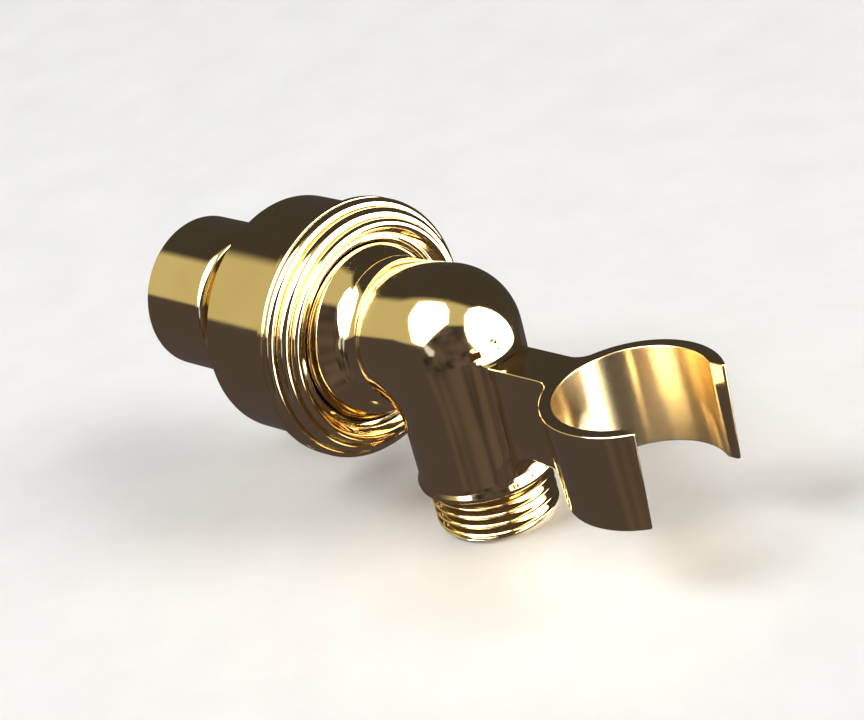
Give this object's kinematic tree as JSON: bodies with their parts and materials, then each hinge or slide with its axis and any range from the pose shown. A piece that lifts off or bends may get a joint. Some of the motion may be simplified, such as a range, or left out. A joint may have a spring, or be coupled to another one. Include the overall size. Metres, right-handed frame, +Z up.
{
  "type": "swivel hand shower holder",
  "caption": "Wall-mounted hand shower holder: threaded inlet, ball joint under a beaded ring, elbow with male hose outlet and an open tapered cradle.",
  "frame": {"origin": "centre of the bounding box, with the ball joint at rest", "axes": "+X along the inlet's axis, away from the wall; +Z up, opposite to the hose outlet; +Y completes the frame, across the symmetry plane"},
  "size_m": [0.114, 0.0446, 0.0538],
  "materials": {
    "brass": "polished and lacquered cast brass, turned faces finely tooled",
    "rubber": "smooth moulded rubber",
    "steel": "plain stainless steel",
    "acetal": "turned white acetal",
    "valve_plastic": "moulded blue plastic"
  },
  "bodies": {
    "inlet": {"inlet_collar": "brass", "inlet_washer": "rubber", "strainer_screen": "steel", "flow_regulator": "acetal", "regulator_ring": "rubber", "collar_seal": "rubber", "socket_body": "brass", "seat_spring": "steel", "retaining_ring": "brass"},
    "seats": {"rear_seat": "acetal", "front_seat": "acetal"},
    "ball": {"swivel_ball": "brass", "stem_seal": "rubber"},
    "elbow": {"stem_clip": "steel", "elbow_body": "brass", "cradle": "brass", "outlet_nipple": "brass", "nipple_seal": "rubber", "check_valve_housing": "valve_plastic", "check_valve_seal": "rubber", "check_valve_spring": "steel"},
    "poppet": {"check_valve_poppet": "acetal", "poppet_seal": "rubber"}
  },
  "joints": [
    {"name": "socket_turn", "type": "hinge", "parent": "inlet", "child": "seats", "pos_m": [-0.01724, 0, 0.00458], "axis": [1, 0, 0], "range_deg": [-180, 180]},
    {"name": "ball_tilt", "type": "hinge", "parent": "seats", "child": "ball", "pos_m": [-0.01724, 0, 0.00458], "axis": [0, 1, 0], "range_deg": [-7, 19]},
    {"name": "stem_turn", "type": "hinge", "parent": "ball", "child": "elbow", "pos_m": [-0.01724, 0, 0.00458], "axis": [0.9945, 0, 0.1045], "range_deg": [-180, 180]},
    {"name": "poppet_slide", "type": "slide", "parent": "elbow", "child": "poppet", "axis": [0, 0, -1], "range_m": [0, 0.0025], "stiffness_N_per_m": 200, "springref_m": -0.001, "deforming": ["check_valve_spring"]}
  ]
}
